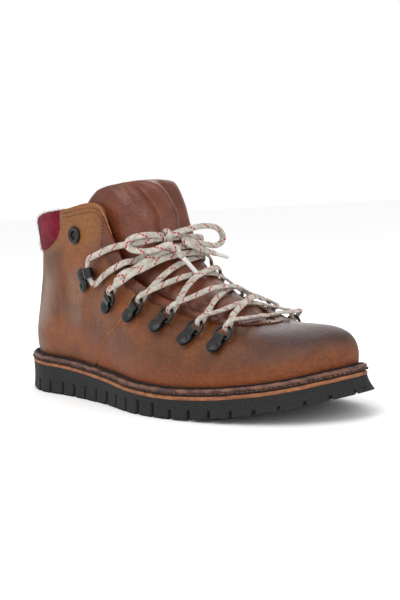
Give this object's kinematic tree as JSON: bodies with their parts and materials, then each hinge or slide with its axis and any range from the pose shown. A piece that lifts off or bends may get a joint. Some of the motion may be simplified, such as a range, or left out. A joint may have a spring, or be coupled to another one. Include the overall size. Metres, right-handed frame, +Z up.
{
  "type": "hiking boot",
  "caption": "Ankle-high lace-up hiking boot, right foot, with lugged rubber sole, stitched welt, padded collar, folded tongue, rings, speed hooks and tied lace.",
  "frame": {"origin": "On the floor under the middle of the boot's footprint box, laces left out", "axes": "+X runs to the toe, +Y to the inner (medial) side of the foot, +Z up"},
  "size_m": [0.3112, 0.1183, 0.157],
  "materials": {
    "outsole_rubber": "matte",
    "midsole_rubber": "matte",
    "runner_leather": "matte",
    "welt_leather": "matte",
    "cork": "matte",
    "spring_steel": "brushed",
    "board": "matte",
    "footbed_felt": "matte",
    "stiffener": "matte",
    "lining_leather": "matte",
    "crimson_wool": "fuzzy",
    "red_leather": "waxy satin",
    "tan_leather": "waxy satin",
    "webbing": "matte",
    "lace_braid": "matte",
    "aglet_plastic": "clear gloss",
    "black_metal": "satin"
  },
  "bodies": {
    "boot": {"outsole": "outsole_rubber", "midsole": "midsole_rubber", "runner_layer": "runner_leather", "welt": "welt_leather", "cork_filler": "cork", "steel_shank": "spring_steel", "insole_board": "board", "footbed": "footbed_felt", "vamp": "tan_leather", "quarter_lateral": "tan_leather", "quarter_medial": "tan_leather", "toe_puff": "stiffener", "heel_counter": "stiffener", "lining": "lining_leather", "facing_lateral": "red_leather", "facing_medial": "red_leather", "back_stay": "tan_leather", "collar_pad": "crimson_wool", "tongue": "red_leather", "eyelet_lateral": "black_metal", "hook_lateral": "black_metal", "hook_rivet_lateral_low": "black_metal", "hook_rivet_lateral_high": "black_metal", "ring_strap_lateral_1": "black_metal", "ring_strap_lateral_2": "black_metal", "ring_strap_lateral_3": "black_metal", "ring_strap_lateral_4": "black_metal", "ring_strap_lateral_5": "black_metal", "eyelet_medial": "black_metal", "hook_medial": "black_metal", "hook_rivet_medial_low": "black_metal", "hook_rivet_medial_high": "black_metal", "ring_strap_medial_1": "black_metal", "ring_strap_medial_2": "black_metal", "ring_strap_medial_3": "black_metal", "ring_strap_medial_4": "black_metal", "ring_strap_medial_5": "black_metal", "lace_run_lateral": "lace_braid", "lace_run_medial": "lace_braid", "lace_knot": "lace_braid", "lace_end_medial": "lace_braid", "aglet_medial": "aglet_plastic", "lace_end_lateral": "lace_braid", "aglet_lateral": "aglet_plastic"},
    "ring_lateral_1": {"ring_lateral_1": "black_metal"},
    "ring_lateral_2": {"ring_lateral_2": "black_metal"},
    "ring_lateral_3": {"ring_lateral_3": "black_metal"},
    "ring_lateral_4": {"ring_lateral_4": "black_metal"},
    "ring_lateral_5": {"ring_lateral_5": "black_metal"},
    "ring_medial_1": {"ring_medial_1": "black_metal"},
    "ring_medial_2": {"ring_medial_2": "black_metal"},
    "ring_medial_3": {"ring_medial_3": "black_metal"},
    "ring_medial_4": {"ring_medial_4": "black_metal"},
    "ring_medial_5": {"ring_medial_5": "black_metal"},
    "tongue_flap": {"tongue_top": "red_leather"},
    "heel_loop": {"pull_loop": "webbing"}
  },
  "joints": [
    {"name": "ring_lateral_1_swing", "type": "hinge", "parent": "boot", "child": "ring_lateral_1", "pos_m": [-0.02097, -0.04306, 0.07477], "axis": [-0.7488, 0.1378, 0.6483], "range_deg": [-12, 12], "deforming": ["lace_run_lateral", "lace_run_medial"]},
    {"name": "ring_lateral_2_swing", "type": "hinge", "parent": "boot", "child": "ring_lateral_2", "pos_m": [0.00673, -0.04407, 0.07001], "axis": [-0.7753, 0.24, 0.5842], "range_deg": [-12, 12], "deforming": ["lace_run_lateral", "lace_run_medial"]},
    {"name": "ring_lateral_3_swing", "type": "hinge", "parent": "boot", "child": "ring_lateral_3", "pos_m": [0.03387, -0.04351, 0.06395], "axis": [-0.8317, 0.2512, 0.4951], "range_deg": [-12, 12], "deforming": ["lace_run_lateral", "lace_run_medial"]},
    {"name": "ring_lateral_4_swing", "type": "hinge", "parent": "boot", "child": "ring_lateral_4", "pos_m": [0.05938, -0.04265, 0.05684], "axis": [-0.8856, 0.1495, 0.4396], "range_deg": [-12, 12], "deforming": ["lace_run_lateral", "lace_run_medial"]},
    {"name": "ring_lateral_5_swing", "type": "hinge", "parent": "boot", "child": "ring_lateral_5", "pos_m": [0.08042, -0.03843, 0.05327], "axis": [-0.9516, -0.0077, 0.3072], "range_deg": [-12, 12], "deforming": ["lace_run_lateral", "lace_run_medial"]},
    {"name": "ring_medial_1_swing", "type": "hinge", "parent": "boot", "child": "ring_medial_1", "pos_m": [-0.04104, 0.04514, 0.07783], "axis": [0.7865, 0.1682, -0.5943], "range_deg": [-12, 12], "deforming": ["lace_run_lateral", "lace_run_medial"]},
    {"name": "ring_medial_2_swing", "type": "hinge", "parent": "boot", "child": "ring_medial_2", "pos_m": [-0.01536, 0.04955, 0.06713], "axis": [0.8084, 0.0528, -0.5863], "range_deg": [-12, 12], "deforming": ["lace_run_lateral", "lace_run_medial"]},
    {"name": "ring_medial_3_swing", "type": "hinge", "parent": "boot", "child": "ring_medial_3", "pos_m": [0.01254, 0.05202, 0.0597], "axis": [0.8532, 0.0526, -0.5188], "range_deg": [-12, 12], "deforming": ["lace_run_lateral", "lace_run_medial"]},
    {"name": "ring_medial_4_swing", "type": "hinge", "parent": "boot", "child": "ring_medial_4", "pos_m": [0.03954, 0.05408, 0.05212], "axis": [0.9295, 0.0483, -0.3657], "range_deg": [-12, 12], "deforming": ["lace_run_lateral", "lace_run_medial"]},
    {"name": "ring_medial_5_swing", "type": "hinge", "parent": "boot", "child": "ring_medial_5", "pos_m": [0.0632, 0.05415, 0.0479], "axis": [0.9632, -0.0149, -0.2683], "range_deg": [-12, 12], "deforming": ["lace_run_lateral", "lace_run_medial"]},
    {"name": "tongue_fold", "type": "hinge", "parent": "boot", "child": "tongue_flap", "pos_m": [0.0014, 0.00435, 0.129], "axis": [0, 1, 0], "range_deg": [0, 40], "deforming": ["lining"]},
    {"name": "loop_lift", "type": "hinge", "parent": "boot", "child": "heel_loop", "pos_m": [-0.14388, 0.00435, 0.123], "axis": [0, 1, 0], "range_deg": [0, 140]}
  ]
}
